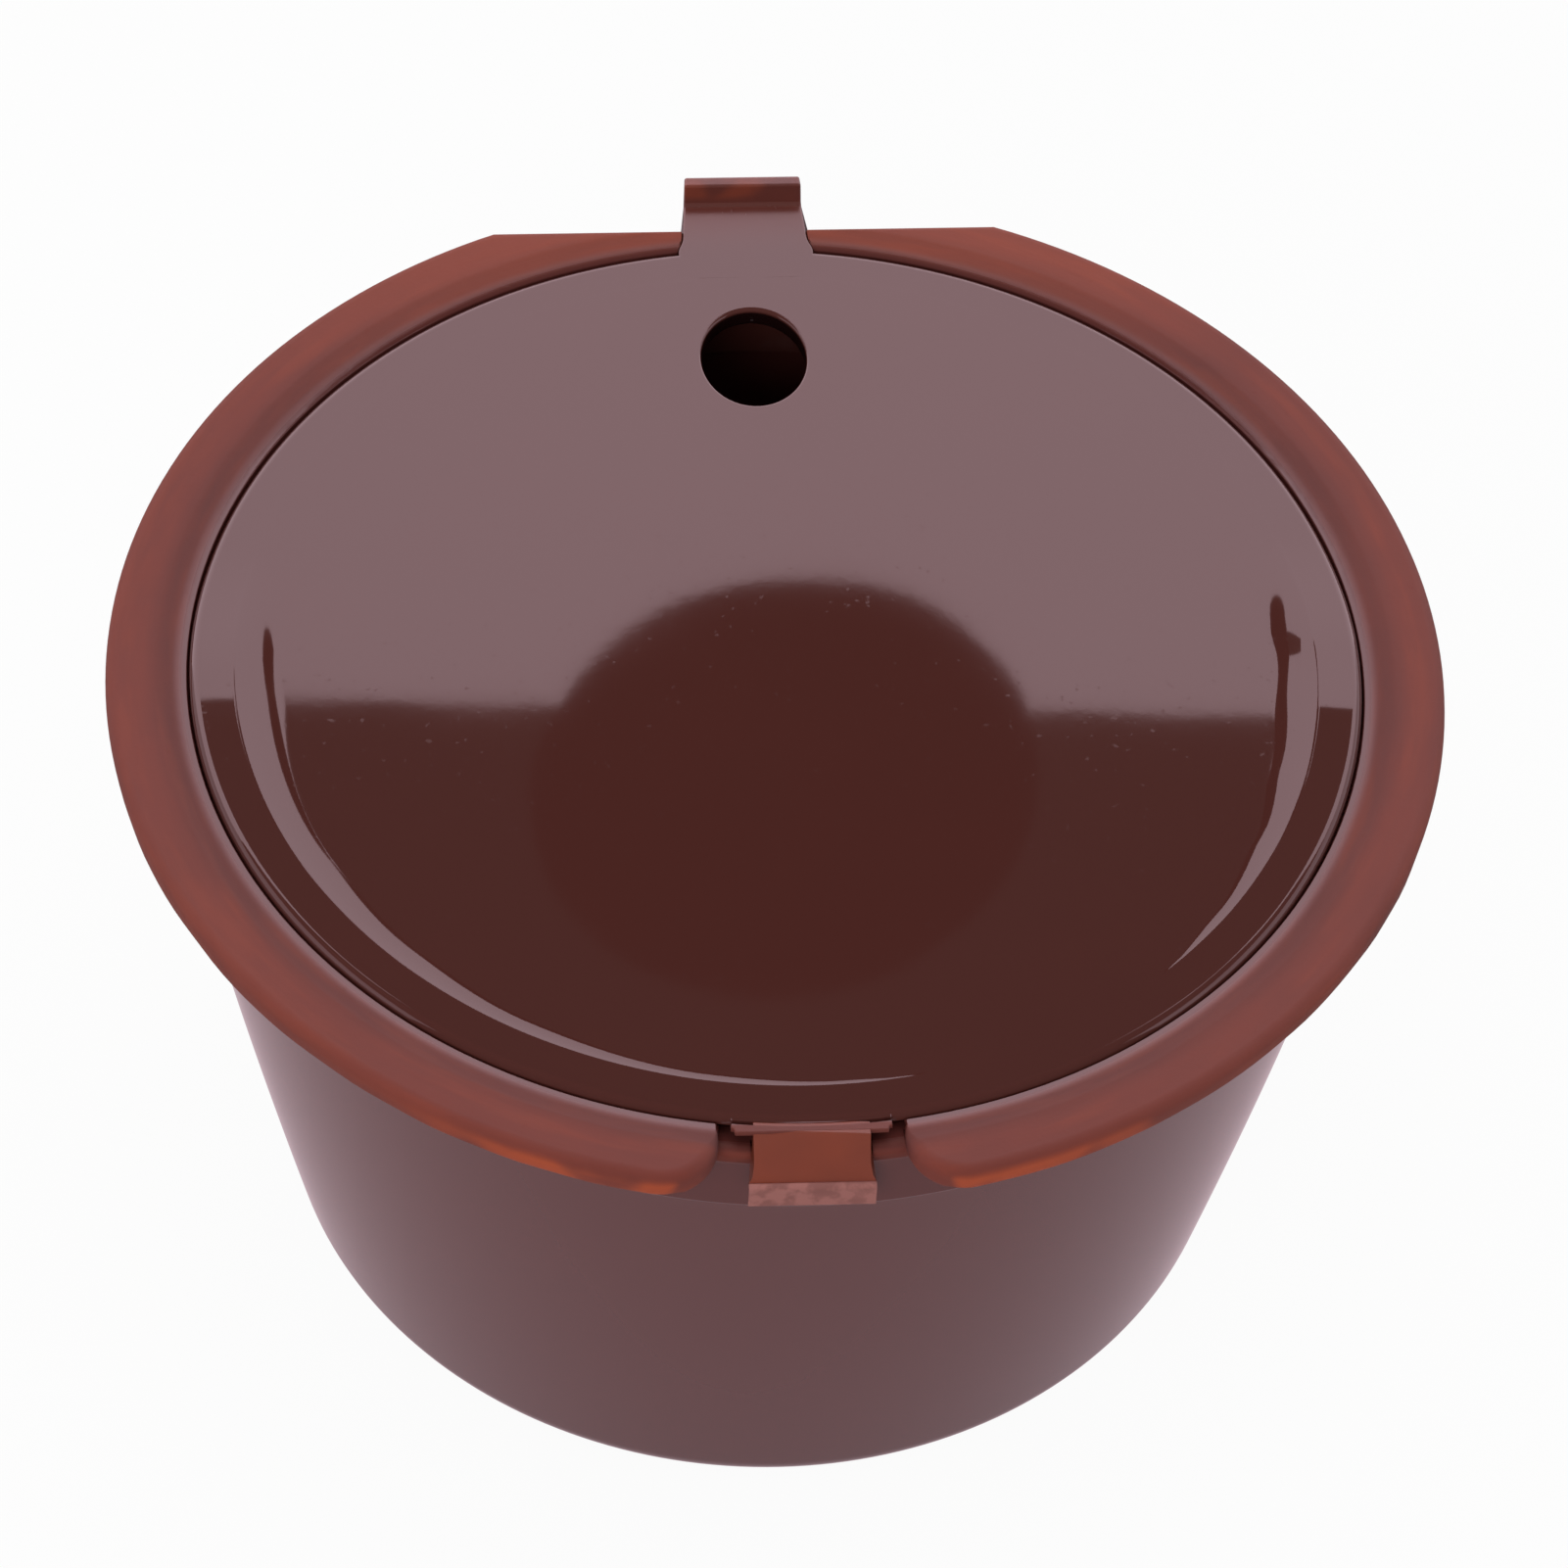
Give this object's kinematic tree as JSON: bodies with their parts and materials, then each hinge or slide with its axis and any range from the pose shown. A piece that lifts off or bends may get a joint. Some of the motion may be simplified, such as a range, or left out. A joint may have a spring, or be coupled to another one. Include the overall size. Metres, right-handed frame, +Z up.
{
  "type": "coffee pod",
  "caption": "Refillable round coffee pod: tapered cup with a flange, a snap-in dished lid on a strap hinge with a needle hole and pull tab, and a wire filter screen under a clamp ring.",
  "frame": {"origin": "centre of the bounding box in X and Y, on the cup's axis, in the plane that the pod stands on", "axes": "+Z up along the cup's axis, +Y towards the lid's pull tab, -Y towards the hinge strap"},
  "size_m": [0.054, 0.0534, 0.0295],
  "materials": {
    "cup_plastic": "moulded brown polypropylene, satin flange and smooth wall",
    "lid_plastic": "moulded brown polypropylene, high gloss",
    "screen_steel": "woven stainless wire"
  },
  "bodies": {
    "cup": {"cup": "cup_plastic", "filter_ring": "cup_plastic", "filter_screen": "screen_steel"},
    "lid": {"lid": "lid_plastic"}
  },
  "joints": [
    {"name": "lid_hinge", "type": "hinge", "parent": "cup", "child": "lid", "pos_m": [0, -0.02575, 0.0266], "axis": [1, 0, 0], "range_deg": [0, 180]}
  ]
}
